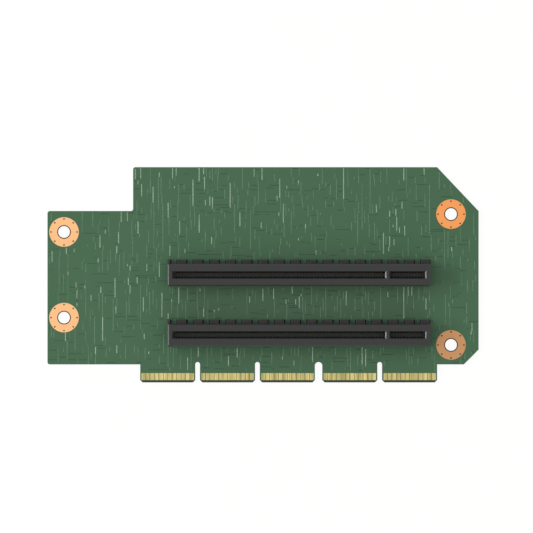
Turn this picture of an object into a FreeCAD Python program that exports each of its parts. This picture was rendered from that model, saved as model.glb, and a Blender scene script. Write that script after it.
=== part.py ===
"""Two-slot riser card: a rigid board with gold edge fingers that carries two full-length card slots.

The board lies flat with its component side up (+Z) and its edge fingers towards -Y.
The origin is the middle of the board's outline, level with the copper under its back face.
"""
import FreeCAD, Part
import os
import Sketcher

doc = FreeCAD.newDocument("RiserCard")

# Every size that can be set by itself: millimetres, or pieces where it is a count.
SIZES = [
    # board outline; its length and width follow from what it carries
    ("board_thickness", 1.6),
    ("corner_radius", 0.8),
    ("shoulder_length", 29.0),
    ("shoulder_drop", 14.85),
    ("top_chamfer_length", 14.05),
    ("top_chamfer_drop", 14.85),
    ("foot_chamfer", 5.0),
    # edge connector: five tabs parted by round-topped notches, the third notch wider
    ("tab_inset", 31.4),
    ("tab_end_margin", 14.05),
    ("tab_depth", 6.1),
    ("tab_corner", 0.8),
    ("notch_width", 1.6),
    ("wide_notch_width", 2.5),
    ("notch_rise", 0.8),
    ("bevel_length", 0.8),
    ("bevel_depth", 0.3),
    # gold fingers on both faces of every tab
    ("foil_thickness", 0.05),
    ("fingers_per_tab", 12),
    ("finger_pitch", 1.5),
    ("finger_gap", 0.2),
    ("finger_margin", 0.425),
    ("finger_length", 2.35),
    # mounting holes and their copper lands
    ("mount_hole", 4.0),
    ("land_clearance", 0.2),
    ("land_diameter", 10.0),
    ("land_sides", 24),
    ("left_hole_inset", 5.6),
    ("left_hole_drop", 7.1),
    ("left_hole_spacing", 29.0),
    ("right_hole_inset", 9.35),
    ("right_hole_drop", 15.9),
    ("right_hole_rise", 6.6),
    # where the two slots sit on the board
    ("slot_inset", 40.7),
    ("slot_end_margin", 16.3),
    ("slot_drop", 36.5),
    ("slot_pitch", 20.32),
    ("slot_foot_margin", 16.08),
    # the edge of the add-in card that the slots are made for
    ("card_thickness", 1.57),
    ("card_depth", 7.75),
    ("card_clearance", 0.1),
    ("key_notch", 1.9),
    ("key_contact_gap", 3.0),
    ("tongue_margin", 1.65),
    ("contact_pitch", 1.0),
    ("long_contacts", 71),
    ("short_contacts", 11),
    # moulded slot housing
    ("end_wall", 1.8),
    ("housing_width", 7.5),
    ("housing_height", 11.25),
    ("housing_chamfer", 0.4),
    ("lead_in", 0.4),
    # stand-off feet along the housing's +Y wall
    ("end_foot_length", 1.2),
    ("foot_inset", 2.95),
    ("foot_length", 3.75),
    ("foot_pitch", 5.5),
    ("shortest_far_foot", 2.0),
    ("foot_width", 1.45),
    ("foot_height", 2.4),
    ("foot_slope", 0.45),
    # spring contacts and their chambers
    ("chamber_width", 0.56),
    ("chamber_lip", 0.05),
    ("chamber_taper", 0.04),
    ("contact_width", 0.4),
    ("contact_overlap", 0.18),
    ("nose_height", 4.6),
    ("tip_height", 6.2),
]

sheet = doc.addObject("Spreadsheet::Sheet", "Sizes")
for row, (alias, size) in enumerate(SIZES, start=1):
    sheet.set(f"A{row}", alias.replace("_", " "))
    sheet.set(f"B{row}", str(size))
    sheet.setAlias(f"B{row}", alias)
doc.recompute()

# Sizes and places worked out from the sheet, as expressions.
HALF_KEY_NOTCH = "Sizes.key_notch / 2"
LONG_TONGUE = "((Sizes.long_contacts - 1) * Sizes.contact_pitch + Sizes.tongue_margin)"
SHORT_TONGUE = "((Sizes.short_contacts - 1) * Sizes.contact_pitch + Sizes.tongue_margin)"
KEY_X = f"(Sizes.end_wall + {LONG_TONGUE} + {HALF_KEY_NOTCH} + Sizes.card_clearance)"
HOUSING_LENGTH = f"({KEY_X} + {HALF_KEY_NOTCH} + {SHORT_TONGUE} + Sizes.card_clearance + Sizes.end_wall)"

FINGER_ROW = "(Sizes.fingers_per_tab * Sizes.finger_pitch - Sizes.finger_gap)"
TAB_WIDTH = f"({FINGER_ROW} + 2 * Sizes.finger_margin)"
TABS_LENGTH = f"(5 * {TAB_WIDTH} + 3 * Sizes.notch_width + Sizes.wide_notch_width)"
LENGTH_FOR_TABS = f"Sizes.tab_inset + {TABS_LENGTH} + Sizes.tab_end_margin"
LENGTH_FOR_SLOTS = f"Sizes.slot_inset + {HOUSING_LENGTH} + Sizes.slot_end_margin"
BOARD_LENGTH = f"max({LENGTH_FOR_TABS}; {LENGTH_FOR_SLOTS})"
BOARD_WIDTH = "(Sizes.slot_drop + Sizes.slot_pitch + Sizes.slot_foot_margin)"

BOARD_LEFT = f"(-{BOARD_LENGTH} / 2)"
BOARD_RIGHT = f"({BOARD_LENGTH} / 2)"
BOARD_TOP = f"({BOARD_WIDTH} / 2)"
TAB_END = f"(-{BOARD_WIDTH} / 2)"
BODY_FOOT = f"({TAB_END} + Sizes.tab_depth)"
SHOULDER_X = f"({BOARD_LEFT} + Sizes.shoulder_length)"
SHOULDER_Y = f"({BOARD_TOP} - Sizes.shoulder_drop)"
TABS_LEFT = f"({BOARD_LEFT} + Sizes.tab_inset)"
TABS_RIGHT = f"({TABS_LEFT} + {TABS_LENGTH})"
BOARD_BACK = "Sizes.foil_thickness"
BOARD_FRONT = "(Sizes.foil_thickness + Sizes.board_thickness)"

LEFT_HOLES_X = f"({BOARD_LEFT} + Sizes.left_hole_inset)"
RIGHT_HOLES_X = f"({BOARD_RIGHT} - Sizes.right_hole_inset)"
MOUNT_HOLES = [
    (LEFT_HOLES_X, f"({SHOULDER_Y} - Sizes.left_hole_drop)"),
    (LEFT_HOLES_X, f"({SHOULDER_Y} - Sizes.left_hole_drop - Sizes.left_hole_spacing)"),
    (RIGHT_HOLES_X, f"({BOARD_TOP} - Sizes.right_hole_drop)"),
    (RIGHT_HOLES_X, f"({BODY_FOOT} + Sizes.right_hole_rise)"),
]

SLOT_LEFT = f"({BOARD_LEFT} + Sizes.slot_inset)"
SLOT_ROWS = {
    "upper": f"({BOARD_TOP} - Sizes.slot_drop)",
    "lower": f"({BOARD_TOP} - Sizes.slot_drop - Sizes.slot_pitch)",
}

# Places in a slot's own frame: x from its left end, y from its centre line, z from the board.
HALF_SLOT = "(Sizes.card_thickness / 2 + Sizes.card_clearance)"
HALF_MOUTH = f"({HALF_SLOT} + Sizes.lead_in)"
HALF_KEY = f"({HALF_KEY_NOTCH} - Sizes.card_clearance)"
SLOT_FLOOR = "(Sizes.housing_height - Sizes.card_depth)"
CAVITIES = {
    "long": ("Sizes.end_wall", f"({KEY_X} - {HALF_KEY})"),
    "short": (f"({KEY_X} + {HALF_KEY})", f"({HOUSING_LENGTH} - Sizes.end_wall)"),
}
LONG_ROW = "(Sizes.long_contacts - 1) * Sizes.contact_pitch"
FIRST_CONTACT = {
    "long": f"({KEY_X} - Sizes.key_contact_gap / 2 - {LONG_ROW})",
    "short": f"({KEY_X} + Sizes.key_contact_gap / 2)",
}
CONTACT_COUNT = {"long": "Sizes.long_contacts", "short": "Sizes.short_contacts"}
CHAMBER_FOOT = f"({HALF_SLOT} - Sizes.chamber_taper)"
CHAMBER_MOUTH = f"({HALF_MOUTH} - Sizes.chamber_lip)"


def value(expression):
    """The number that an expression on the sheet gives now."""
    return float(sheet.evalExpression(expression))


def new_body(label):
    """An empty body whose label names its file."""
    body = doc.addObject("PartDesign::Body", label)
    body.Label = label
    return body


def datum(body, role):
    """The body's own origin plane or axis with this role."""
    return [feature for feature in body.Origin.OriginFeatures if feature.Role == role][0]


def new_sketch(body, name, role="XY_Plane", offset="0"):
    """A sketch on one of the body's own origin planes, moved along its normal."""
    sketch = body.newObject("Sketcher::SketchObject", name)
    sketch.AttachmentSupport = [(datum(body, role), "")]
    sketch.MapMode = "FlatFace"
    sketch.setExpression("AttachmentOffset.Base.z", offset)
    return sketch


def bind(sketch, kind, *where, expression):
    """Add a dimension to the sketch and tie it to the sheet."""
    index = sketch.addConstraint(Sketcher.Constraint(kind, *where, value(expression)))
    sketch.setExpression(f"Constraints[{index}]", expression)


def draw_polygon(sketch, corners):
    """Draw a closed loop of straight lines whose corners are tied to the sheet."""
    first = sketch.GeometryCount
    places = [FreeCAD.Vector(value(x), value(y), 0) for x, y in corners]
    for start, end in zip(places, places[1:] + places[:1]):
        sketch.addGeometry(Part.LineSegment(start, end), False)
    for index, (x, y) in enumerate(corners):
        line = first + index
        next_line = first + (index + 1) % len(corners)
        sketch.addConstraint(Sketcher.Constraint("Coincident", line, 2, next_line, 1))
        bind(sketch, "DistanceX", -1, 1, line, 1, expression=x)
        bind(sketch, "DistanceY", -1, 1, line, 1, expression=y)


def draw_rectangle(sketch, left, right, low, high):
    """Draw a rectangle from its four sides."""
    draw_polygon(sketch, [(left, low), (right, low), (right, high), (left, high)])


def draw_circle(sketch, x, y, diameter):
    """Draw a circle whose centre and diameter are tied to the sheet."""
    centre = FreeCAD.Vector(value(x), value(y), 0)
    upwards = FreeCAD.Vector(0, 0, 1)
    circle = sketch.addGeometry(Part.Circle(centre, upwards, value(diameter) / 2), False)
    bind(sketch, "DistanceX", -1, 1, circle, 3, expression=x)
    bind(sketch, "DistanceY", -1, 1, circle, 3, expression=y)
    bind(sketch, "Diameter", circle, expression=diameter)


def pad(body, sketch, name, length, side="One side", backwards=False):
    """Raise a sketch into material."""
    feature = body.newObject("PartDesign::Pad", name)
    feature.Profile = sketch
    feature.SideType = side
    feature.Reversed = backwards
    feature.setExpression("Length", length)
    return feature


def pocket(body, sketch, name, length=None, side="One side"):
    """Cut a sketch into the material below it, or right through where no length is given."""
    feature = body.newObject("PartDesign::Pocket", name)
    feature.Profile = sketch
    feature.SideType = side
    if length:
        feature.setExpression("Length", length)
    else:
        feature.Type = "ThroughAll"
    return feature


def bevel_edges(body, feature, name, edges, size):
    """Chamfer some edges of the newest feature, found again by their own names."""
    names = [
        f"Edge{index}"
        for index, edge in enumerate(feature.Shape.Edges, start=1)
        if any(edge.isSame(wanted) for wanted in edges)
    ]
    chamfer = body.newObject("PartDesign::Chamfer", name)
    chamfer.Base = (feature, names)
    chamfer.setExpression("Size", size)
    return chamfer


def repeat(body, feature, name, pitch, count):
    """Repeat a feature along the body's X axis."""
    pattern = body.newObject("PartDesign::LinearPattern", name)
    pattern.Originals = [feature]
    pattern.Direction = (datum(body, "X_Axis"), [""])
    pattern.Mode = "Spacing"
    pattern.setExpression("Offset", pitch)
    pattern.setExpression("Occurrences", count)
    body.Tip = pattern
    return pattern


def upright_edges(shape, places):
    """Names of the shape's edges that stand on the given (x, y) places."""
    names = []
    for x, y in places:
        corner = FreeCAD.Vector(value(x), value(y), 0)
        for index, edge in enumerate(shape.Edges, start=1):
            feet = [FreeCAD.Vector(vertex.X, vertex.Y, 0) for vertex in edge.Vertexes]
            if all(foot.distanceToPoint(corner) < 1e-6 for foot in feet):
                names.append(f"Edge{index}")
    return names


def tab_left(tab):
    """Left side of a tab, counted from 0; the notch before tab 3 is the wide one."""
    narrow = tab - 1 if tab > 2 else tab
    wide = 1 if tab > 2 else 0
    notches = f"{narrow} * Sizes.notch_width + {wide} * Sizes.wide_notch_width"
    return f"({TABS_LEFT} + {tab} * {TAB_WIDTH} + {notches})"


def make_board():
    """Epoxy board: stepped outline, edge tabs, notches, bevelled tab ends and drilled holes."""
    body = new_body("circuit_board")
    outline = new_sketch(body, "Outline", offset=BOARD_BACK)
    draw_polygon(outline, [
        (BOARD_LEFT, BODY_FOOT),
        (TABS_LEFT, BODY_FOOT),
        (TABS_LEFT, f"({TAB_END} + Sizes.tab_corner)"),
        (f"({TABS_LEFT} + Sizes.tab_corner)", TAB_END),
        (f"({TABS_RIGHT} - Sizes.tab_corner)", TAB_END),
        (TABS_RIGHT, f"({TAB_END} + Sizes.tab_corner)"),
        (TABS_RIGHT, BODY_FOOT),
        (f"({BOARD_RIGHT} - Sizes.foot_chamfer)", BODY_FOOT),
        (BOARD_RIGHT, f"({BODY_FOOT} + Sizes.foot_chamfer)"),
        (BOARD_RIGHT, f"({BOARD_TOP} - Sizes.top_chamfer_drop)"),
        (f"({BOARD_RIGHT} - Sizes.top_chamfer_length)", BOARD_TOP),
        (SHOULDER_X, BOARD_TOP),
        (SHOULDER_X, SHOULDER_Y),
        (BOARD_LEFT, SHOULDER_Y),
    ])
    plate = pad(body, outline, "Plate", "Sizes.board_thickness")
    doc.recompute()

    rounding = body.newObject("PartDesign::Fillet", "RoundedCorners")
    rounded = [
        (BOARD_LEFT, BODY_FOOT),
        (BOARD_LEFT, SHOULDER_Y),
        (SHOULDER_X, SHOULDER_Y),
        (SHOULDER_X, BOARD_TOP),
    ]
    rounding.Base = (plate, upright_edges(plate.Shape, rounded))
    rounding.setExpression("Radius", "Sizes.corner_radius")

    slots = new_sketch(body, "NotchSides", offset=BOARD_FRONT)
    ends = new_sketch(body, "NotchEnds", offset=BOARD_FRONT)
    for tab in range(1, 5):
        right = tab_left(tab)
        left = f"({tab_left(tab - 1)} + {TAB_WIDTH})"
        width = f"({right} - {left})"
        end_centre = f"({BODY_FOOT} + Sizes.notch_rise - {width} / 2)"
        draw_polygon(slots, [
            (f"({left} - Sizes.tab_corner)", TAB_END),
            (f"({right} + Sizes.tab_corner)", TAB_END),
            (right, f"({TAB_END} + Sizes.tab_corner)"),
            (right, end_centre),
            (left, end_centre),
            (left, f"({TAB_END} + Sizes.tab_corner)"),
        ])
        draw_circle(ends, f"(({left} + {right}) / 2)", end_centre, width)
    pocket(body, slots, "NotchSlots")
    pocket(body, ends, "NotchRounds")

    bevel = new_sketch(body, "BevelProfile", role="YZ_Plane")
    bevel_top = f"({TAB_END} + Sizes.bevel_length)"
    draw_polygon(bevel, [
        (bevel_top, BOARD_FRONT),
        (TAB_END, BOARD_FRONT),
        (TAB_END, f"({BOARD_FRONT} - Sizes.bevel_depth)"),
    ])
    draw_polygon(bevel, [
        (bevel_top, BOARD_BACK),
        (TAB_END, BOARD_BACK),
        (TAB_END, f"({BOARD_BACK} + Sizes.bevel_depth)"),
    ])
    pocket(body, bevel, "EdgeBevels", length=BOARD_LENGTH, side="Symmetric")

    holes = new_sketch(body, "MountHoleCentres", offset=BOARD_FRONT)
    for x, y in MOUNT_HOLES:
        draw_circle(holes, x, y, "Sizes.mount_hole")
    pocket(body, holes, "MountHoles")
    return body


def add_prism(body, kind, name, x, y, level, diameter):
    """Add or cut a many-sided round, as high as the copper foil is thick."""
    prism = body.newObject(f"PartDesign::{kind}Prism", name)
    prism.setExpression("Polygon", "Sizes.land_sides")
    prism.setExpression("Circumradius", f"{diameter} / 2")
    prism.setExpression("Height", "Sizes.foil_thickness")
    prism.setExpression("Placement.Base.x", x)
    prism.setExpression("Placement.Base.y", y)
    prism.setExpression("Placement.Base.z", level)
    return prism


def make_lands(label, level):
    """The four copper rings on one face of the board, one round each mounting hole."""
    body = new_body(label)
    opening = "(Sizes.mount_hole + 2 * Sizes.land_clearance)"
    for index, (x, y) in enumerate(MOUNT_HOLES, start=1):
        add_prism(body, "Additive", f"Land{index}", x, y, level, "Sizes.land_diameter")
        add_prism(body, "Subtractive", f"Opening{index}", x, y, level, opening)
    return body


def make_fingers(label, tab, level):
    """One tab's row of gold fingers on one face, centred on the tab."""
    body = new_body(label)
    finger_width = "(Sizes.finger_pitch - Sizes.finger_gap)"
    left = f"({tab_left(tab)} + Sizes.finger_margin)"
    low = f"({TAB_END} + Sizes.bevel_length)"
    finger = new_sketch(body, "Finger", offset=level)
    draw_rectangle(finger, left, f"({left} + {finger_width})", low, f"({low} + Sizes.finger_length)")
    foil = pad(body, finger, "Foil", "Sizes.foil_thickness")
    repeat(body, foil, "Row", "Sizes.finger_pitch", "Sizes.fingers_per_tab")
    return body


def place_in_slot(body, row_y):
    """Put a body that is drawn in a slot's own frame on its place on the board."""
    body.setExpression("Placement.Base.x", SLOT_LEFT)
    body.setExpression("Placement.Base.y", row_y)
    body.setExpression("Placement.Base.z", BOARD_FRONT)


def make_housing(label, row_y):
    """Moulded slot housing: stand-offs, keyed card slot, lead-ins and contact chambers."""
    body = new_body(label)
    wall = "(Sizes.housing_width / 2)"
    footprint = new_sketch(body, "Footprint")
    draw_rectangle(footprint, "0", HOUSING_LENGTH, f"-{wall}", wall)
    pad(body, footprint, "Block", "Sizes.housing_height")
    add_stand_offs(body, wall)

    slot = new_sketch(body, "CardSlot", offset="Sizes.housing_height")
    for left, right in CAVITIES.values():
        draw_rectangle(slot, left, right, f"-{HALF_SLOT}", HALF_SLOT)
    cavities = pocket(body, slot, "CardCavities", length="Sizes.card_depth")
    doc.recompute()
    top = max(cavities.Shape.Faces, key=lambda face: face.CenterOfMass.z)
    rim = top.OuterWire.Edges
    rim_chamfer = bevel_edges(body, cavities, "RimChamfer", rim, "Sizes.housing_chamfer")
    doc.recompute()
    top = max(rim_chamfer.Shape.Faces, key=lambda face: face.CenterOfMass.z)
    mouths = [edge for wire in top.Wires if not wire.isSame(top.OuterWire) for edge in wire.Edges]
    bevel_edges(body, rim_chamfer, "LeadIns", mouths, "Sizes.lead_in")

    for part in CAVITIES:
        add_chambers(body, part)
    place_in_slot(body, row_y)
    return body


def add_stand_offs(body, wall):
    """Feet with sloping ends along the +Y wall: one at each end and an even run between."""
    run_end = f"{HOUSING_LENGTH} - Sizes.foot_inset - Sizes.shortest_far_foot"
    run_count = f"floor(({run_end}) / Sizes.foot_pitch)"
    feet = {
        "EndFoot": ("0", "Sizes.end_foot_length"),
        "FarFoot": (f"(Sizes.foot_inset + {run_count} * Sizes.foot_pitch)", HOUSING_LENGTH),
        "Foot": ("Sizes.foot_inset", "(Sizes.foot_inset + Sizes.foot_length)"),
    }
    for name, (left, right) in feet.items():
        profile = new_sketch(body, f"{name}Profile", "XZ_Plane", f"-{wall}")
        draw_polygon(profile, [
            (left, "0"),
            (right, "0"),
            (f"({right} - Sizes.foot_slope)", "Sizes.foot_height"),
            (f"({left} + Sizes.foot_slope)", "Sizes.foot_height"),
        ])
        foot = pad(body, profile, name, "Sizes.foot_width", backwards=True)
    repeat(body, foot, "FootRun", "Sizes.foot_pitch", run_count)


def add_chambers(body, part):
    """Contact chambers of one cavity: deepest at the mouth, running out above the slot floor."""
    profile = new_sketch(body, f"{part.title()}ChamberProfile", "YZ_Plane", FIRST_CONTACT[part])
    draw_polygon(profile, [
        (f"-{CHAMBER_FOOT}", SLOT_FLOOR),
        (CHAMBER_FOOT, SLOT_FLOOR),
        (CHAMBER_MOUTH, "Sizes.housing_height"),
        (f"-{CHAMBER_MOUTH}", "Sizes.housing_height"),
    ])
    name = f"{part.title()}Chamber"
    chamber = pocket(body, profile, name, length="Sizes.chamber_width", side="Symmetric")
    repeat(body, chamber, f"{name}Row", "Sizes.contact_pitch", CONTACT_COUNT[part])


def make_contacts(label, part, row_y, side):
    """One row of spring contacts: root on the slot floor, nose in the card's way, tip at the wall.

    The back of each one lies on the sloping wall of its chamber.
    """
    body = new_body(label)
    slope = f"(({CHAMBER_MOUTH} - {CHAMBER_FOOT}) / Sizes.card_depth)"
    nose = f"(Sizes.card_thickness / 2 - Sizes.contact_overlap)"
    tip = f"({CHAMBER_FOOT} + {slope} * Sizes.tip_height)"
    profile = new_sketch(body, "Spring", "YZ_Plane", FIRST_CONTACT[part])
    draw_polygon(profile, [
        (f"{side} * {CHAMBER_FOOT}", SLOT_FLOOR),
        (f"{side} * {nose}", f"({SLOT_FLOOR} + Sizes.nose_height)"),
        (f"{side} * {tip}", f"({SLOT_FLOOR} + Sizes.tip_height)"),
    ])
    spring = pad(body, profile, "Blade", "Sizes.contact_width", side="Symmetric")
    repeat(body, spring, "Row", "Sizes.contact_pitch", CONTACT_COUNT[part])
    place_in_slot(body, row_y)
    return body


sub_parts = [make_board()]
sub_parts.append(make_lands("ground_lands_front", BOARD_FRONT))
sub_parts.append(make_lands("ground_lands_back", "0"))
for tab in range(5):
    sub_parts.append(make_fingers(f"edge_fingers_front_{tab + 1}", tab, BOARD_FRONT))
    sub_parts.append(make_fingers(f"edge_fingers_back_{tab + 1}", tab, "0"))
for slot_name, row_y in SLOT_ROWS.items():
    sub_parts.append(make_housing(f"{slot_name}_slot_housing", row_y))
    for part in CAVITIES:
        sub_parts.append(make_contacts(f"{slot_name}_contacts_a_{part}", part, row_y, 1))
        sub_parts.append(make_contacts(f"{slot_name}_contacts_b_{part}", part, row_y, -1))
doc.recompute()

for item in doc.Objects:
    if "Invalid" in item.State or "Error" in item.State:
        raise RuntimeError(f"{item.Label} did not compute: {item.State}")
for body in sub_parts:
    if body.Shape.isNull() or not body.Shape.isValid():
        raise RuntimeError(f"{body.Label} has no valid shape")

os.makedirs("parts", exist_ok=True)
for body in sub_parts:
    body.Shape.exportStep(f"parts/{body.Label}.step")
    print(body.Label, len(body.Shape.Solids), round(body.Shape.Volume, 3))
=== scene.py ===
# %% [markdown]
# # Dressing a two-slot riser card
#
# A riser card is a small circuit board that stands on its edge fingers in a server and holds two
# add-in cards at right angles. The CAD model already gives every solid piece its true size and
# place, so this lesson only adds what a drawing leaves out: copper tracks under the solder mask,
# round copper lands with their vias, springs in the slots, solder on the back, and the finishes.
# Everything is placed from the CAD boxes, so nothing has to be fitted by eye.

# %% Start from the CAD model
import math
import random

import bmesh
import bpy
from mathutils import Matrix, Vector
from mathutils.bvhtree import BVHTree


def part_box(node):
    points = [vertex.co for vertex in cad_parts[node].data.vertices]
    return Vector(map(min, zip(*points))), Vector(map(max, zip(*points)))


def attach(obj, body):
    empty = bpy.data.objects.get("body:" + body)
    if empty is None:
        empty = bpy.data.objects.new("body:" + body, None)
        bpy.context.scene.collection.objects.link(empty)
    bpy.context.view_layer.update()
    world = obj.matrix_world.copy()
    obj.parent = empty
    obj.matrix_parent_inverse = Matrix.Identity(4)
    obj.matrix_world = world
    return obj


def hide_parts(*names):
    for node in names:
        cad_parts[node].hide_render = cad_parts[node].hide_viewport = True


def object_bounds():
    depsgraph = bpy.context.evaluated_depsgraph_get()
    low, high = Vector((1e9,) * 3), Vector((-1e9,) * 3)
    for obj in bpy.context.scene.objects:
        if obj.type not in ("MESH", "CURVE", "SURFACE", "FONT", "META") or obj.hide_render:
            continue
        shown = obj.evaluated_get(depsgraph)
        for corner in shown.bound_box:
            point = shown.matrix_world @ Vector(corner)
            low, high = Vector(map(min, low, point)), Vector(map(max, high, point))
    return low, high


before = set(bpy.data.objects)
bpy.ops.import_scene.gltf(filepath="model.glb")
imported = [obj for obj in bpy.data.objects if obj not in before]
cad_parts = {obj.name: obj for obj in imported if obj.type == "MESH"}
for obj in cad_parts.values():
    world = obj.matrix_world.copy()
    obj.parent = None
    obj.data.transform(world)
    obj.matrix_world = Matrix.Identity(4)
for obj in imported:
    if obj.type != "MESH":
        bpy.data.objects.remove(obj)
cad_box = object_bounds()
MM = 0.001
print("CAD nodes:", len(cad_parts))

# %% [markdown]
# ## Reading places from the solids
#
# The board's faces, the slots and the copper are all flat and square to the axes, so the boxes of
# the CAD nodes give every level that the new pieces need. The four lands share one node, so their
# centres are found one by one, from the vertices in each quarter of the board.

# %% Levels and centres
board_low, board_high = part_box("circuit_board")
FRONT = board_high.z
BACK = board_low.z
foil_low, foil_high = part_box("ground_lands_front")
FOIL = foil_high.z - foil_low.z


def land_centre(side_x, side_y):
    """Middle of the land in one quarter of the board."""
    corners = [vertex.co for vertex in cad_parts["ground_lands_front"].data.vertices]
    near = [co for co in corners if co.x * side_x > 0 and co.y * side_y > 0]
    xs = [co.x for co in near]
    ys = [co.y for co in near]
    return Vector(((min(xs) + max(xs)) / 2, (min(ys) + max(ys)) / 2, 0))


LAND_CENTRES = [land_centre(x, y) for x in (-1, 1) for y in (1, -1)]
print("lands at", [tuple(round(v / MM, 2) for v in centre[:2]) for centre in LAND_CENTRES])

# %% [markdown]
# ## Camera, floor and light
#
# The card lies flat and is looked at from straight above. A parallel (orthographic) camera keeps
# both ends of the board square on, as a drawing does. The floor and the world show plain white to
# the camera and to reflections, while their diffuse light stays at a plain level.

# %% A small helper for shader nodes
def linear(hex_code):
    """Linear RGBA of an sRGB colour such as 4b6d55."""
    channels = [int(hex_code[i:i + 2], 16) / 255 for i in (0, 2, 4)]
    return (*[c / 12.92 if c <= 0.04045 else ((c + 0.055) / 1.055) ** 2.4 for c in channels], 1)


def add_node(tree, kind, inputs=None, **settings):
    """Add a node, set its own settings, and give its inputs a value or a link."""
    node = tree.nodes.new(kind)
    for name, setting in settings.items():
        setattr(node, name, setting)
    for socket, given in (inputs or {}).items():
        if isinstance(given, bpy.types.NodeSocket):
            tree.links.new(given, node.inputs[socket])
        else:
            node.inputs[socket].default_value = given
    return node


def seen_ray(tree):
    """1 for rays from the camera, reflections and glass, 0 for diffuse light."""
    path = add_node(tree, "ShaderNodeLightPath")
    seen = add_node(tree, "ShaderNodeMath", {
        0: path.outputs["Is Camera Ray"], 1: path.outputs["Is Glossy Ray"]}, operation="MAXIMUM")
    return add_node(tree, "ShaderNodeMath", {
        0: seen.outputs[0], 1: path.outputs["Is Transmission Ray"]}, operation="MAXIMUM").outputs[0]


# %% White world with a plain level of light
SKY_OVERHEAD = 1.12
SKY_LEVEL = 0.5
world = bpy.data.worlds.new("studio")
bpy.context.scene.world = world
world.use_nodes = True
sky = world.node_tree
sky.nodes.clear()
toward = add_node(sky, "ShaderNodeSeparateXYZ", {
    0: add_node(sky, "ShaderNodeTexCoord").outputs["Generated"]})
far_side = add_node(sky, "ShaderNodeMapRange", {
    "Value": toward.outputs["Y"], "From Min": -1, "From Max": 1})
tint = add_node(sky, "ShaderNodeMix", {
    0: far_side.outputs[0], 6: linear("fff6de"), 7: linear("f2fbff")}, data_type="RGBA")
brightness = add_node(sky, "ShaderNodeMapRange", {
    "Value": toward.outputs["Z"], "From Min": 0, "From Max": 1, "To Min": SKY_LEVEL, "To Max": SKY_OVERHEAD})
white = add_node(sky, "ShaderNodeBackground", {"Color": linear("ffffff"), "Strength": 1})
soft = add_node(sky, "ShaderNodeBackground", {"Color": tint.outputs[2], "Strength": brightness.outputs[0]})
backdrop = add_node(sky, "ShaderNodeMixShader", {0: seen_ray(sky), 1: soft.outputs[0], 2: white.outputs[0]})
add_node(sky, "ShaderNodeOutputWorld", {"Surface": backdrop.outputs[0]})

# %% [markdown]
# The floor is one large plane. For the rays that see it, most of it is even white and a little of
# it is real lit paint, so the card keeps a soft shadow where it lies on the floor.

# %% Floor
FLOOR_SIZE = 6.0
bpy.ops.object.select_all(action="DESELECT")
bpy.ops.mesh.primitive_plane_add(size=FLOOR_SIZE, location=(0, 0, cad_box[0].z))
floor = bpy.context.object
floor.name = "floor"
paint = bpy.data.materials.new("matt_white_floor")
paint.use_nodes = True
tree = paint.node_tree
tree.nodes.clear()
lit = add_node(tree, "ShaderNodeBsdfDiffuse", {"Color": linear("f7f7f7")})
even = add_node(tree, "ShaderNodeEmission", {"Color": linear("ffffff"), "Strength": 1})
evenness = add_node(tree, "ShaderNodeMath", {0: seen_ray(tree), 1: 0.93}, operation="MULTIPLY")
cover = add_node(tree, "ShaderNodeMixShader", {0: evenness.outputs[0], 1: lit.outputs[0], 2: even.outputs[0]})
add_node(tree, "ShaderNodeOutputMaterial", {"Surface": cover.outputs[0]})
floor.data.materials.append(paint)

# %% Camera straight above
VIEW_WIDTH = 180.5 * MM
AIM = Vector((1.17, 2.81, 0)) * MM
camera_data = bpy.data.cameras.new("camera")
camera_data.type = "ORTHO"
camera_data.ortho_scale = VIEW_WIDTH
camera = bpy.data.objects.new("camera", camera_data)
camera.location = AIM + Vector((0, 0, 0.6))
bpy.context.scene.collection.objects.link(camera)
bpy.context.scene.camera = camera
bpy.context.scene.view_settings.view_transform = "Standard"

# %% [markdown]
# Two soft panels stand on the left. The high one is the key light, and the low one is only there
# to be mirrored in edges that face left, such as the lead-ins of the slots.


# %% Soft panels
def add_panel(name, azimuth, elevation, distance, width, height, power):
    """Area lamp that faces the card; azimuth 180 is to the left, 90 is beyond the card."""
    turn = math.radians(azimuth)
    rise = math.radians(elevation)
    place = Vector((math.cos(turn) * math.cos(rise), math.sin(turn) * math.cos(rise), math.sin(rise)))
    lamp = bpy.data.lights.new(name, "AREA")
    lamp.shape = "RECTANGLE"
    lamp.size = width
    lamp.size_y = height
    lamp.energy = power
    panel = bpy.data.objects.new(name, lamp)
    panel.location = place * distance
    panel.rotation_euler = (-place).to_track_quat("-Z", "Y").to_euler()
    panel.visible_camera = False
    bpy.context.scene.collection.objects.link(panel)
    return panel


add_panel("key_panel", azimuth=176, elevation=50, distance=1.2, width=0.6, height=0.3, power=5.2)
low_panel = add_panel("low_panel", azimuth=180, elevation=9, distance=0.3, width=0.24, height=0.09, power=0.4)
low_panel.visible_diffuse = False

# %% [markdown]
# ## Solder mask over glass-epoxy laminate
#
# The board is woven glass in epoxy, coated on both faces with a thin green polymer, the solder
# mask. The mask is smooth and half glossy, and the weave shows faintly through it. Where the board
# was cut, the pale laminate shows its layers. One material does all this: it looks which way a
# face points, so the faces get the mask and the cut sides get the laminate. The sloped faces, such
# as the bevels of the edge tabs, get a dark green instead, which is painted shade.

# %% Mask and laminate
MASK_GREEN = "2f5a3a"
MASK_DEEP = "2a5435"
LAMINATE = "8d9467"
LAMINATE_DEEP = "6f7a52"
BEVEL_PAINTED_SHADE = "12291b"
CLOUD_SIZE = 25 * MM
WEAVE_PITCH = 0.5 * MM
LAYER_PITCH = 0.2 * MM
# A wave texture repeats every pi / 10 divided by its scale.
WAVE_SCALE = 0.314


def new_material(name):
    """A material with only the Principled shader, and its parts."""
    material = bpy.data.materials.new(name)
    material.use_nodes = True
    return material, material.node_tree, material.node_tree.nodes["Principled BSDF"]


def place_of(tree):
    """Object coordinates, in metres."""
    return add_node(tree, "ShaderNodeTexCoord").outputs["Object"]


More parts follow.
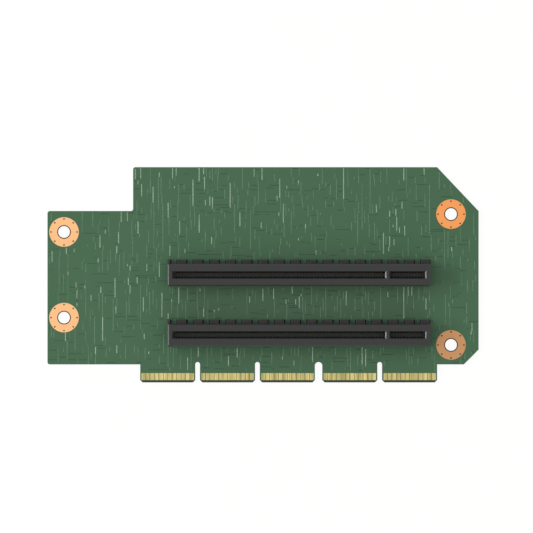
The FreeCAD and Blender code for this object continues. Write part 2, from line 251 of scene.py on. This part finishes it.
def normal_z(tree):
    """How far a face points up: 1 is straight up, 0 is upright, -1 is down."""
    normal = add_node(tree, "ShaderNodeTexCoord").outputs["Normal"]
    return add_node(tree, "ShaderNodeSeparateXYZ", {0: normal}).outputs["Z"]


def speckle(tree, size, detail, place=None):
    """Noise from 0 to 1 whose patches are about the size given, in metres."""
    return add_node(tree, "ShaderNodeTexNoise", {
        "Vector": place or place_of(tree), "Scale": 1 / size, "Detail": detail}).outputs["Fac"]


def sharpen(tree, value):
    """Noise stretched so that it reaches 0 and 1."""
    return add_node(tree, "ShaderNodeMapRange", {
        "Value": value, "From Min": 0.35, "From Max": 0.65}).outputs[0]


def blend(tree, share, first, second):
    """A mix of two colours, each an sRGB code or a colour socket."""
    first, second = [linear(tone) if isinstance(tone, str) else tone for tone in (first, second)]
    return add_node(tree, "ShaderNodeMix", {0: share, 6: first, 7: second}, data_type="RGBA").outputs[2]


def settle(tree, shader, colour, roughness, ior=1.5, metallic=0):
    """Give the shader its colour and its constant values."""
    tree.links.new(colour, shader.inputs["Base Color"])
    shader.inputs["Roughness"].default_value = roughness
    shader.inputs["IOR"].default_value = ior
    shader.inputs["Metallic"].default_value = metallic


solder_mask, tree, shader = new_material("green_solder_mask_on_laminate")
place = place_of(tree)
cloud = speckle(tree, CLOUD_SIZE, 2)
weave_x = add_node(tree, "ShaderNodeTexWave", {
    "Vector": place, "Scale": WAVE_SCALE / WEAVE_PITCH, "Distortion": 0}, bands_direction="X")
weave_y = add_node(tree, "ShaderNodeTexWave", {
    "Vector": place, "Scale": WAVE_SCALE / WEAVE_PITCH, "Distortion": 0}, bands_direction="Y")
weave = add_node(tree, "ShaderNodeMath", {0: weave_x.outputs["Fac"], 1: weave_y.outputs["Fac"]},
                 operation="MULTIPLY")
green = blend(tree, cloud, MASK_DEEP, MASK_GREEN)
layers = add_node(tree, "ShaderNodeTexWave", {
    "Vector": place, "Scale": WAVE_SCALE / LAYER_PITCH, "Distortion": 1}, bands_direction="Z")
cut_side = blend(tree, layers.outputs["Fac"], LAMINATE_DEEP, LAMINATE)
flatness = add_node(tree, "ShaderNodeMath", {0: normal_z(tree)}, operation="ABSOLUTE")
is_flat = add_node(tree, "ShaderNodeMath", {0: flatness.outputs[0], 1: 0.99}, operation="GREATER_THAN")
# Sloped faces, such as the tab bevels, are coloured dark green: painted shade.
top_tone = blend(tree, is_flat.outputs[0], BEVEL_PAINTED_SHADE, green)
is_face = add_node(tree, "ShaderNodeMath", {0: flatness.outputs[0], 1: 0.5}, operation="GREATER_THAN")
colour = blend(tree, is_face.outputs[0], cut_side, top_tone)
bump = add_node(tree, "ShaderNodeBump", {
    "Height": weave.outputs[0], "Strength": 0.1, "Distance": 0.005 * MM})
tree.links.new(bump.outputs[0], shader.inputs["Normal"])
settle(tree, shader, colour, roughness=0.42)


def finish_node(name, material):
    """Give a CAD node a better material in all its slots."""
    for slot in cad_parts[name].material_slots:
        slot.material = material


finish_node("circuit_board", solder_mask)

# %% [markdown]
# ## Black slot mouldings
#
# The slots are injection moulded in black glass-filled plastic. It is matt with a fine spark
# texture from the mould, and grey rather than black because the rough skin scatters light.

# %% Moulding material
SPARK_SIZE = 0.25 * MM
black_plastic, tree, shader = new_material("black_glass_filled_plastic")
grain = speckle(tree, SPARK_SIZE, 3)
roughness = add_node(tree, "ShaderNodeMapRange", {
    "Value": normal_z(tree), "From Min": 0.3, "From Max": 0.6, "To Min": 0.85, "To Max": 0.33})
bump = add_node(tree, "ShaderNodeBump", {
    "Height": grain, "Strength": 0.3, "Distance": 0.01 * MM})
tree.links.new(bump.outputs[0], shader.inputs["Normal"])
settle(tree, shader, blend(tree, grain, "151515", "1e1d1e"), roughness=0.33)
tree.links.new(roughness.outputs[0], shader.inputs["Roughness"])

# %% [markdown]
# The slot's mouth has two copies of the moulding material of its own, put on by which way a face
# points. The lead-ins along its sides get a rough copy that reflects less, a painted shade. The
# lead-ins that face left, at the key and the right end, get a smooth copy in a paler grey, a painted
# highlight.

# %% Lead-ins with painted shade and painted highlight
# A rough copy of the moulding that reflects less, for the side lead-ins: painted shade.
shade_black_plastic, tree, shader = new_material("black_plastic_painted_shade")
grain = speckle(tree, SPARK_SIZE, 3)
settle(tree, shader, blend(tree, grain, "141414", "1c1c1c"), roughness=0.9)
shader.inputs["Specular IOR Level"].default_value = 0.35

# A smooth copy in a paler grey for the lead-ins that face left: a painted highlight.
highlight_black_plastic, tree, shader = new_material("black_plastic_painted_highlight")
grain = speckle(tree, SPARK_SIZE, 3)
settle(tree, shader, blend(tree, grain, "2a2a2a", "383838"), roughness=0.2, ior=1.9)

# %% [markdown]
# The CAD shape is right, but its edges are razor sharp, and a real moulding's never are. So the
# dressed housing is a copy of the CAD mesh: its loose triangles are merged, and its outer edges get
# a tiny rounding that catches the light.


# %% Housings with rounded outer edges
EDGE_ROUNDING = 0.05 * MM
SLOT_HALF = 1.3 * MM
END_WALL = 1.5 * MM
SHADE_SLOT = 1
HIGHLIGHT_SLOT = 2


def join(name, pieces):
    """Make one object of several, at the origin, unturned and unscaled."""
    bpy.ops.object.select_all(action="DESELECT")
    for piece in pieces:
        piece.select_set(True)
    bpy.context.view_layer.objects.active = pieces[0]
    if len(pieces) > 1:
        bpy.ops.object.join()
    bpy.ops.object.transform_apply(location=True, rotation=True, scale=True)
    joined = bpy.context.object
    joined.name = name
    return joined


def dress(piece, material):
    """Give a new piece its material, its body and the slot that it takes its finish from."""
    piece.data.materials.clear()
    piece.data.materials.append(material)
    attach(piece, "root")
    return piece


def row_middle(row):
    """Middle line of a slot, halfway between its two rows of contacts."""
    a_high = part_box(f"{row}_contacts_a_long")[1]
    b_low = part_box(f"{row}_contacts_b_long")[0]
    return (a_high.y + b_low.y) / 2


def merged_copy(name, node):
    """A new piece with the CAD node's mesh, whose loose triangles are merged."""
    piece = bpy.data.objects.new(name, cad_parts[node].data.copy())
    bpy.context.scene.collection.objects.link(piece)
    bpy.ops.object.select_all(action="DESELECT")
    piece.select_set(True)
    bpy.context.view_layer.objects.active = piece
    bpy.ops.object.mode_set(mode="EDIT")
    bpy.ops.mesh.select_all(action="SELECT")
    bpy.ops.mesh.remove_doubles(threshold=0.001 * MM)
    bpy.ops.mesh.customdata_custom_splitnormals_clear()
    bpy.ops.mesh.dissolve_limited(angle_limit=math.radians(1))
    bpy.ops.object.mode_set(mode="OBJECT")
    bpy.ops.object.shade_flat()
    return piece


def round_outer_edges(piece, middle):
    """A small bevel on the sharp edges outside the slot."""
    bpy.ops.object.mode_set(mode="EDIT")
    bpy.ops.mesh.select_all(action="DESELECT")
    mesh = bmesh.from_edit_mesh(piece.data)
    mesh.normal_update()
    for edge in mesh.edges:
        outside = all(abs(vertex.co.y - middle) > SLOT_HALF for vertex in edge.verts)
        on_board = all(vertex.co.z < FRONT + 0.01 * MM for vertex in edge.verts)
        sharp = len(edge.link_faces) == 2 and edge.calc_face_angle() > math.radians(20)
        edge.select_set(outside and sharp and not on_board)
    mesh.select_flush_mode()
    bmesh.update_edit_mesh(piece.data)
    bpy.ops.mesh.bevel(offset=EDGE_ROUNDING, segments=2, affect="EDGES")
    bpy.ops.object.mode_set(mode="OBJECT")


for row in ("upper", "lower"):
    middle = row_middle(row)
    housing = merged_copy(f"{row}_slot_moulding", f"{row}_slot_housing")
    round_outer_edges(housing, middle)
    dress(housing, black_plastic)
    housing.data.materials.append(shade_black_plastic)
    housing.data.materials.append(highlight_black_plastic)
    mouth_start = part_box(f"{row}_slot_housing")[0].x + END_WALL
    for face in housing.data.polygons:
        in_mouth = abs(face.center.y - middle) < SLOT_HALF and face.center.x > mouth_start
        # Side-facing lead-ins take the painted shade copy, left-facing lead-ins the painted highlight copy.
        if in_mouth and 0.5 < face.normal.z < 0.9:
            if abs(face.normal.y) > 0.5:
                face.material_index = SHADE_SLOT
            if face.normal.x < -0.5:
                face.material_index = HIGHLIGHT_SLOT
    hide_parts(f"{row}_slot_housing")
    print(housing.name, len(housing.data.polygons), "faces, size",
          [round(size / MM, 2) for size in housing.dimensions])

# %% [markdown]
# ## Gold edge fingers
#
# The fingers are copper foil plated with nickel and hard gold, bright but finely brushed by the
# plating brushes, so each one reflects a little differently from its neighbour.

# %% Hard gold
STREAK_WIDTH = 0.7 * MM
hard_gold, tree, shader = new_material("hard_gold_plate")
stretched = add_node(tree, "ShaderNodeMapping", {"Vector": place_of(tree), "Scale": (1, 0.05, 1)})
streak = sharpen(tree, speckle(tree, STREAK_WIDTH, 2, stretched.outputs[0]))
settle(tree, shader, blend(tree, streak, "a49c62", "dccc88"), roughness=0.35, metallic=1)
for tab in range(1, 6):
    finish_node(f"edge_fingers_front_{tab}", hard_gold)
    finish_node(f"edge_fingers_back_{tab}", hard_gold)

# %% [markdown]
# ## Spring alloy
#
# Each contact is stamped from plated phosphor bronze strip, a pale warm metal. The end at the tip,
# which faces up out of the slot, is coloured nearly black: painted shade, for the deep slot.

# %% Contact alloy
TARNISH_SIZE = 0.6 * MM
spring_alloy, tree, shader = new_material("plated_phosphor_bronze")
plated = blend(tree, speckle(tree, TARNISH_SIZE, 2), "9c8a58", "c4ac6c")
# The up-facing tip is coloured nearly black, a painted shade.
painted_tip_shade = add_node(tree, "ShaderNodeMath", {0: normal_z(tree), 1: 0.8}, operation="GREATER_THAN")
settle(tree, shader, blend(tree, painted_tip_shade.outputs[0], plated, "1d1a17"), roughness=0.3, metallic=1)

# %% [markdown]
# ## Contact springs
#
# A contact is a narrow strip that stands in its chamber, leans in to a nose that presses on the
# card, and flares back at the tip so that the card can't catch it. The strip is drawn by extruding
# the top of a small block from bend to bend. One spring is made, an Array modifier repeats it at
# the contact pitch, and the other row of the slot is its mirror image.

# %% One spring, extruded from bend to bend
CONTACT_PITCH = 1.0 * MM
SPRING_WIDTH = 0.4 * MM
SPRING_THICKNESS = 0.12 * MM
NOSE_SHARE = 4.6 / 6.2
NOSE_HALF_SHARE = 0.04
TIP_CLEARANCE = 0.01 * MM
ROOT_SET_BACK = 0.24 * MM


def spring_bends(root, nose, tip, height):
    """Middle line of a spring as (distance from the slot's middle, height above its floor)."""
    return [
        (root, 0.0),
        (root - 0.15 * (root - nose), 0.25 * height),
        (root - 0.7 * (root - nose), 0.6 * height),
        (nose, (NOSE_SHARE - NOSE_HALF_SHARE) * height),
        (nose, (NOSE_SHARE + NOSE_HALF_SHARE) * height),
        (nose + 0.45 * (tip - nose), 0.88 * height),
        (tip, height - TIP_CLEARANCE),
    ]


def add_spring(bends, x, row_y, side, floor_z):
    """A bent strip of metal, as one small closed mesh."""
    bpy.ops.object.select_all(action="DESELECT")
    start = Vector((x, row_y + side * bends[0][0], floor_z))
    bpy.ops.mesh.primitive_plane_add(size=SPRING_WIDTH, location=start)
    spring = bpy.context.object
    bpy.ops.object.mode_set(mode="EDIT")
    flatness = SPRING_THICKNESS / SPRING_WIDTH
    bpy.ops.transform.resize(value=(1, flatness, 1), center_override=start)
    for (here, low), (there, high) in zip(bends, bends[1:]):
        shift = (0, side * (there - here), high - low)
        bpy.ops.mesh.extrude_region_move(TRANSFORM_OT_translate={"value": shift})
    bpy.ops.mesh.select_all(action="SELECT")
    bpy.ops.mesh.normals_make_consistent(inside=False)
    bpy.ops.object.mode_set(mode="OBJECT")
    return spring


def contact_count(low, high):
    """Number of contacts in a row, from its box."""
    return round((high.x - low.x - SPRING_WIDTH) / CONTACT_PITCH) + 1


def repeat(piece, count, pitch):
    """Repeat a piece along X with an Array modifier, and apply it."""
    array = piece.modifiers.new("row", "ARRAY")
    array.count = count
    array.use_relative_offset = False
    array.use_constant_offset = True
    array.constant_offset_displace = (pitch, 0, 0)
    bpy.ops.object.modifier_apply(modifier=array.name)


def spring_row(node, row_y, side):
    """A row of springs in place of the CAD node's plain blades."""
    low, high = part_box(node)
    near, far = sorted((abs(low.y - row_y), abs(high.y - row_y)))
    half = SPRING_THICKNESS / 2
    root = near + ROOT_SET_BACK - half
    bends = spring_bends(root, near + half, far - half, high.z - low.z)
    spring = add_spring(bends, low.x + SPRING_WIDTH / 2, row_y, side, low.z)
    repeat(spring, contact_count(low, high), CONTACT_PITCH)
    row = dress(join(node.replace("contacts", "springs"), [spring]), spring_alloy)
    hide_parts(node)
    return row


for row in ("upper", "lower"):
    for part in ("long", "short"):
        spring_row(f"{row}_contacts_a_{part}", row_middle(row), 1)
        springs = spring_row(f"{row}_contacts_b_{part}", row_middle(row), -1)
    print(row, "springs:", len(springs.data.polygons), "faces in the last row")

# %% [markdown]
# ## Copper lands
#
# Round the mounting holes the mask is left open, and the bare copper is sealed with a clear
# organic coat. It keeps its pink-orange colour. On top of that its colour runs from pale on the
# left to deeper orange on the right, and darker towards the lower right: a painted reflection.

# %% Copper under a clear coat
REFLECTION_LEFT, REFLECTION_RIGHT = -40 * MM, 50 * MM
DARK_REFLECTION_START, DARK_REFLECTION_END = 15 * MM, -18 * MM
land_copper, tree, shader = new_material("sealed_copper")
axes = add_node(tree, "ShaderNodeSeparateXYZ", {0: place_of(tree)})
# Painted reflection: the copper's colour changes with its place on the board.
to_right = add_node(tree, "ShaderNodeMapRange", {
    "Value": axes.outputs["X"], "From Min": REFLECTION_LEFT, "From Max": REFLECTION_RIGHT})
to_foot = add_node(tree, "ShaderNodeMapRange", {
    "Value": axes.outputs["Y"], "From Min": DARK_REFLECTION_START, "From Max": DARK_REFLECTION_END})
dark_reflection = add_node(tree, "ShaderNodeMath", {
    0: to_right.outputs[0], 1: to_foot.outputs[0]}, operation="MULTIPLY")
reflection_tint = blend(tree, to_right.outputs[0], "eeb884", "ec9c5e")
settle(tree, shader, blend(tree, dark_reflection.outputs[0], reflection_tint, "c29066"), roughness=0.4, metallic=1)

# %% [markdown]
# ## Round lands with vias
#
# On the real board each land is a round of copper foil with eight small plated holes in a circle,
# which carry the ground through the board. A thin cylinder with the holes cut out of it by a
# Boolean modifier gives exactly that. One land is made at the origin, then copied to the others.

# %% One land, cut by a Boolean
LAND_RADIUS = 5.0 * MM
OPENING_RADIUS = 2.2 * MM
HOLE_RADIUS = 2.0 * MM
VIA_RADIUS = 0.27 * MM
VIA_CIRCLE = 4.4 * MM
VIAS = 8


def add_rod(radius, height, place, sides):
    """A cylinder that stands on its place."""
    bpy.ops.object.select_all(action="DESELECT")
    middle = place + Vector((0, 0, height / 2))
    bpy.ops.mesh.primitive_cylinder_add(vertices=sides, radius=radius, depth=height, location=middle)
    return bpy.context.object


def cut_away(piece, cutter):
    """Take the cutter's volume out of the piece, and delete the cutter."""
    modifier = piece.modifiers.new("holes", "BOOLEAN")
    modifier.object = cutter
    modifier.operation = "DIFFERENCE"
    modifier.solver = "EXACT"
    bpy.context.view_layer.objects.active = piece
    bpy.ops.object.modifier_apply(modifier=modifier.name)
    bpy.data.objects.remove(cutter, do_unlink=True)


via_places = [
    Vector((math.cos(turn), math.sin(turn), 0)) * VIA_CIRCLE
    for turn in [2 * math.pi * index / VIAS for index in range(VIAS)]
]
below = Vector((0, 0, -0.1 * MM))
land = add_rod(LAND_RADIUS, FOIL, Vector(), 96)
drills = [add_rod(OPENING_RADIUS, 1 * MM, below, 64)]
drills += [add_rod(VIA_RADIUS, 1 * MM, below + place, 16) for place in via_places]
cut_away(land, join("drills", drills))
land = join("land", [land])
print("land faces:", len(land.data.polygons))

# %% [markdown]
# A copy gets its own mesh, so it can be moved inside that mesh and keep its object at the origin.


# %% Copy the land to the four holes on both faces
def copies_at(model, places):
    """Copies of a model, each with its own mesh, put on the places."""
    copies = []
    for place in places:
        copy = model.copy()
        copy.data = model.data.copy()
        copy.location = place
        bpy.context.scene.collection.objects.link(copy)
        copies.append(copy)
    return copies


def land_row(name, level, node):
    """Four lands on one face of the board, in place of the CAD node's plain ones."""
    places = [centre + Vector((0, 0, level)) for centre in LAND_CENTRES]
    lands = join(name, copies_at(land, places))
    dress(lands, land_copper)
    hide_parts(node)


land_row("round_lands_front", FRONT, "ground_lands_front")
land_row("round_lands_back", BACK - FOIL, "ground_lands_back")
bpy.data.objects.remove(land, do_unlink=True)

# %% [markdown]
# Each via holds a thin near-black disc, which fills less than half of its depth: painted shade for
# the dark inside of the hole. Round each mounting hole runs a narrow ring over the bare edge of the
# hole, near-black with painted shade.

# %% Painted shade in the vias and round the holes
VIA_SHADE_DEPTH = 0.02 * MM
RIM_RADIUS = 2.32 * MM
RIM_HEIGHT = FOIL + 0.01 * MM
CUTTER_LENGTH = 1 * MM
SPECK_SIZE = 0.2 * MM
# Near-black discs and rings, a painted shade.
hole_shade_paint, tree, shader = new_material("painted_hole_shade")
settle(tree, shader, blend(tree, speckle(tree, SPECK_SIZE, 2), "0c0b08", "1c1810"), roughness=0.8)
shader.inputs["Specular IOR Level"].default_value = 0.2


def via_and_rim_shades(face, level, side):
    """Dark discs in the vias and a thin dark ring round each hole, both painted shade, on one face of the
    board.
    """
    via_discs = []
    rims = []
    height = RIM_HEIGHT if side > 0 else FOIL
    for centre in LAND_CENTRES:
        for via in via_places:
            foot = centre + via + Vector((0, 0, level if side > 0 else level - VIA_SHADE_DEPTH))
            via_discs.append(add_rod(VIA_RADIUS, VIA_SHADE_DEPTH, foot, 12))
        foot = centre + Vector((0, 0, level if side > 0 else level - height))
        rim = add_rod(RIM_RADIUS, height, foot, 64)
        below = foot - Vector((0, 0, CUTTER_LENGTH / 2))
        cut_away(rim, add_rod(HOLE_RADIUS, CUTTER_LENGTH, below, 64))
        rims.append(rim)
    dress(join(f"via_shade_discs_{face}", via_discs), hole_shade_paint)
    dress(join(f"hole_rim_shades_{face}", rims), hole_shade_paint)


via_and_rim_shades("front", FRONT, 1)
via_and_rim_shades("back", BACK, -1)

# %% [markdown]
# ## Copper tracks under the mask
#
# Tracks are etched copper, 35 micrometres high, and the mask drapes over them as low ridges. Where
# the copper lies close under the mask it looks paler, and the sloping side of a ridge catches the
# light. The router lays tracks on a grid, so the tracks here are drawn on a grid too: first every
# grid point with bare board at it and all round it is found, and then each track grows from a
# random free point until it is long enough or meets something.

# %% Where the bare board is free
GRID = 0.3 * MM
corner_points = []
triangles = []
for node_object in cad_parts.values():
    start = len(corner_points)
    corner_points += [vertex.co.copy() for vertex in node_object.data.vertices]
    triangles += [[start + index for index in polygon.vertices] for polygon in node_object.data.polygons]
solids = BVHTree.FromPolygons(corner_points, triangles)


def free_grid(side, level):
    """Grid points of bare board, seen along Z, with bare board all round; side is 1 for the front."""
    free = set()
    for column in range(int(board_low.x / GRID), int(board_high.x / GRID) + 1):
        for line in range(int(board_low.y / GRID), int(board_high.y / GRID) + 1):
            start = Vector((column * GRID, line * GRID, side * 0.03))
            hit = solids.ray_cast(start, Vector((0, 0, -side)))[0]
            if hit and abs(hit.z - level) < 1e-6:
                free.add((column, line))
    return {
        (column, line) for column, line in free
        if all((column + a, line + b) in free for a in (-1, 0, 1) for b in (-1, 0, 1))
    }


free_front = free_grid(1, FRONT)
free_back = free_grid(-1, BACK)
print("free grid points:", len(free_front), "front,", len(free_back), "back")

# %% [markdown]
# A track is kept one grid step away from its neighbours, as the router's clearance rule does.


# %% Growing tracks on the grid
def beside(point, along_y):
    """The two grid points on either side of a track."""
    column, line = point
    if along_y:
        return [(column - 1, line), (column + 1, line)]
    return [(column, line - 1), (column, line + 1)]


def grow_track(draw, free, along_y, wanted):
    """A straight run of free grid points about the wanted number long, or None."""
    start = draw.choice(free["order"])
    step = (0, 1) if along_y else (1, 0)
    run = [start]
    for direction in (1, -1):
        point = start
        while len(run) < wanted:
            point = (point[0] + direction * step[0], point[1] + direction * step[1])
            room = [point] + beside(point, along_y)
            if any(place not in free["points"] for place in room):
                break
            run.append(point)
    run.sort()
    if len(run) < 3 or any(place not in free["points"] for place in [start] + beside(start, along_y)):
        return None
    for point in run:
        free["points"].discard(point)
        for place in beside(point, along_y):
            free["points"].discard(place)
    return run


def grow_tracks(draw, free, along_y, count, middle, spread, longest):
    """Runs whose lengths in millimetres scatter round a middle one."""
    runs = []
    for attempt in range(count * 4):
        length = min(draw.lognormvariate(math.log(middle), spread), longest) * MM
        run = grow_track(draw, free, along_y, max(3, round(length / GRID)))
        if run:
            runs.append(run)
        if len(runs) == count:
            break
    return runs


def grow_arms(draw, free, runs, share, middle, spread):
    """Cross runs that turn off from one end of some of the runs."""
    arms = []
    for run in runs:
        if draw.random() > share:
            continue
        column, line = draw.choice([run[0], run[-1]])
        direction = draw.choice([-1, 1])
        wanted = max(3, round(draw.lognormvariate(math.log(middle), spread) * MM / GRID))
        arm = []
        for step in range(1, wanted + 1):
            point = (column + direction * step, line)
            if step > 1 and point not in free["points"]:
                break
            arm.append(point)
        if len(arm) >= 3:
            arms.append(sorted(arm))
            free["points"].difference_update(arm)
    return arms


draw = random.Random(7)
front = {"points": set(free_front), "order": sorted(free_front)}
bright_runs = grow_tracks(draw, front, True, count=120, middle=2.9, spread=0.72, longest=16)
faint_runs = grow_tracks(draw, front, True, count=480, middle=2.9, spread=0.75, longest=16)
cross_runs = grow_arms(draw, front, bright_runs + faint_runs, share=0.35, middle=2.7, spread=0.6)
cross_runs += grow_tracks(draw, front, False, count=170, middle=2.5, spread=0.6, longest=8)

# The back stays free of tracks where the slots' solder joints will be.
SOLDER_REACH = 4.2 * MM
for row in ("upper", "lower"):
    low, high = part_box(f"{row}_slot_housing")
    middle = row_middle(row)
    free_back -= {
        (column, line) for column, line in free_back
        if low.x - MM < column * GRID < high.x + MM and abs(line * GRID - middle) < SOLDER_REACH
    }
back = {"points": set(free_back), "order": sorted(free_back)}
back_bright_runs = grow_tracks(draw, back, True, count=90, middle=3.0, spread=0.72, longest=16)
back_faint_runs = grow_tracks(draw, back, True, count=260, middle=2.6, spread=0.75, longest=16)
back_down_runs = back_bright_runs + back_faint_runs
back_cross_runs = grow_arms(draw, back, back_down_runs, share=0.35, middle=2.4, spread=0.6)
back_cross_runs += grow_tracks(draw, back, False, count=150, middle=2.0, spread=0.6, longest=8)
print("front tracks:", len(bright_runs), len(faint_runs), len(cross_runs))
print("back tracks:", len(back_bright_runs), len(back_faint_runs), len(back_cross_runs))

# %% [markdown]
# Each run becomes a flat strip. Extruded a hair and then inset with some depth, a whole sheet of
# strips turns into low ridges with sloping sides in two operations.


# %% Ridges from strips
FOOT_SHARE = 0.2
PATCH_SIZE = 4 * MM


def run_strips(runs, width):
    """Rectangles (left, low, right, high) over straight runs of grid points."""
    half = width / 2
    return [
        (run[0][0] * GRID - half, run[0][1] * GRID - half, run[-1][0] * GRID + half, run[-1][1] * GRID + half)
        for run in runs
    ]


def add_ridges(name, strips, rise, slope, side, material):
    """Low ridges over rectangles on one face of the board, made together in one mesh."""
    level = FRONT if side > 0 else BACK
    bpy.ops.object.select_all(action="DESELECT")
    ridges = bpy.data.objects.new(name, bpy.data.meshes.new(name))
    bpy.context.scene.collection.objects.link(ridges)
    bpy.context.view_layer.objects.active = ridges
    bpy.ops.object.mode_set(mode="EDIT")
    for left, low, right, high in strips:
        middle = ((left + right) / 2, (low + high) / 2, level)
        bpy.ops.mesh.primitive_plane_add(size=right - left, location=middle)
        bpy.ops.transform.resize(value=(1, (high - low) / (right - left), 1), center_override=middle)
    bpy.ops.mesh.select_all(action="SELECT")
    if side < 0:
        bpy.ops.mesh.flip_normals()
    foot = FOOT_SHARE * rise
    bpy.ops.mesh.extrude_region_move(TRANSFORM_OT_translate={"value": (0, 0, side * foot)})
    bpy.ops.mesh.inset(thickness=slope, depth=rise - foot, use_individual=True)
    bpy.ops.mesh.select_all(action="SELECT")
    bpy.ops.mesh.normals_make_consistent(inside=False)
    bpy.ops.object.mode_set(mode="OBJECT")
    dress(ridges, material)
    levels = [vertex.co.z / MM for vertex in ridges.data.vertices]
    print(name, len(ridges.data.polygons), "faces, z", round(min(levels), 3), "to", round(max(levels), 3))


def track_mask(name, dark, light, roughness):
    """Solder mask over a track, in two given tones that change in patches."""
    material, tree, shader = new_material(name)
    cloud = sharpen(tree, speckle(tree, PATCH_SIZE, 1))
    settle(tree, shader, blend(tree, cloud, dark, light), roughness)
    return material


TRACK_RISE = 0.045 * MM
# The wide tracks all run up and down; their pale tone is partly the copper under the mask and partly a
# painted highlight.
bright_mask = track_mask("mask_over_wide_copper_painted_highlight", "667f68", "7b9880", 0.3)
faint_mask = track_mask("mask_over_fine_copper", "31603b", "456f4f", 0.35)
# The cross tracks are coloured dark green, a painted shade.
shade_track_mask = track_mask("mask_with_painted_shade", "0c3219", "17422a", 0.45)
for face, side, bright, faint, cross in (
    ("front", 1, bright_runs, faint_runs, cross_runs),
    ("back", -1, back_bright_runs, back_faint_runs, back_cross_runs),
):
    add_ridges(f"wide_tracks_{face}", run_strips(bright, 0.3 * MM), TRACK_RISE, 0.1 * MM, side, bright_mask)
    add_ridges(f"fine_tracks_{face}", run_strips(faint, 0.24 * MM), TRACK_RISE, 0.08 * MM, side, faint_mask)
    add_ridges(f"cross_tracks_{face}", run_strips(cross, 0.22 * MM), 0.01 * MM, 0.02 * MM, side, shade_track_mask)

# %% [markdown]
# ## Bare laminate between the fingers
#
# The mask stops short of the edge fingers, so between them the bare laminate shows, a dark olive.
# Each gap gets a thin strip of it, lower than the gold.

# %% Strips between the fingers
GAP_RISE = 0.012 * MM
GAP_SLOPE = 0.01 * MM
FIBRE_SIZE = 0.5 * MM
bare_laminate, tree, shader = new_material("bare_glass_epoxy")
settle(tree, shader, blend(tree, speckle(tree, FIBRE_SIZE, 2), "5a5f38", "72764a"), roughness=0.6)


def finger_gaps(face):
    """Rectangles between the fingers of all five tabs."""
    gaps = []
    for tab in range(1, 6):
        node = f"edge_fingers_{face}_{tab}"
        low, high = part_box(node)
        finger_sides = sorted({round(vertex.co.x, 7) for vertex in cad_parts[node].data.vertices})
        inner = finger_sides[1:-1]
        gaps += [(left, low.y, right, high.y) for left, right in zip(inner[::2], inner[1::2])]
    return gaps


add_ridges("finger_gaps_front", finger_gaps("front"), GAP_RISE, GAP_SLOPE, 1, bare_laminate)
add_ridges("finger_gaps_back", finger_gaps("back"), GAP_RISE, GAP_SLOPE, -1, bare_laminate)

# %% [markdown]
# ## Solder on the back
#
# The contacts' tails go through plated holes and are soldered on the back, in four rows under each
# slot. A joint is a low cone of solder, kept very flat so that it stays level with the copper. It
# is made once for each row and repeated by an Array modifier at twice the contact pitch, since the
# contacts of a side go by turns to its two rows.

# %% Solder joints
JOINT_RADIUS = 0.45 * MM
JOINT_ROWS = (1.1 * MM, 3.0 * MM)
JOINT_LIFT = 0.002 * MM
MOTTLE_SIZE = 0.3 * MM
solder, tree, shader = new_material("tin_solder")
mottle = speckle(tree, MOTTLE_SIZE, 3)
settle(tree, shader, blend(tree, mottle, "9a9c9c", "c9cbc9"), roughness=0.38, metallic=1)


def joint_row(first_x, y, count):
    """Solder joints at twice the contact pitch, on the back of the board."""
    joint = add_rod(JOINT_RADIUS, FOIL - JOINT_LIFT, Vector((first_x, y, JOINT_LIFT)), 12)
    bpy.ops.object.mode_set(mode="EDIT")
    bpy.ops.mesh.select_all(action="DESELECT")
    mesh = bmesh.from_edit_mesh(joint.data)
    for face in mesh.faces:
        face.select_set(face.normal.z < -0.9)
    bmesh.update_edit_mesh(joint.data)
    bpy.ops.transform.resize(value=(0.5, 0.5, 1), center_override=(first_x, y, 0))
    bpy.ops.mesh.inset(thickness=0.05 * MM, depth=-0.01 * MM)
    bpy.ops.object.mode_set(mode="OBJECT")
    repeat(joint, count, 2 * CONTACT_PITCH)
    return joint


for row in ("upper", "lower"):
    joints = []
    for side, letter in ((1, "a"), (-1, "b")):
        for part in ("long", "short"):
            low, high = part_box(f"{row}_contacts_{letter}_{part}")
            count = contact_count(low, high)
            for start in (0, 1):
                first_x = low.x + SPRING_WIDTH / 2 + start * CONTACT_PITCH
                y = row_middle(row) + side * JOINT_ROWS[start]
                joints.append(joint_row(first_x, y, (count - start + 1) // 2))
    dress(join(f"{row}_solder_joints", joints), solder)
    print(row, "solder joints:", len(bpy.context.object.data.polygons), "faces")
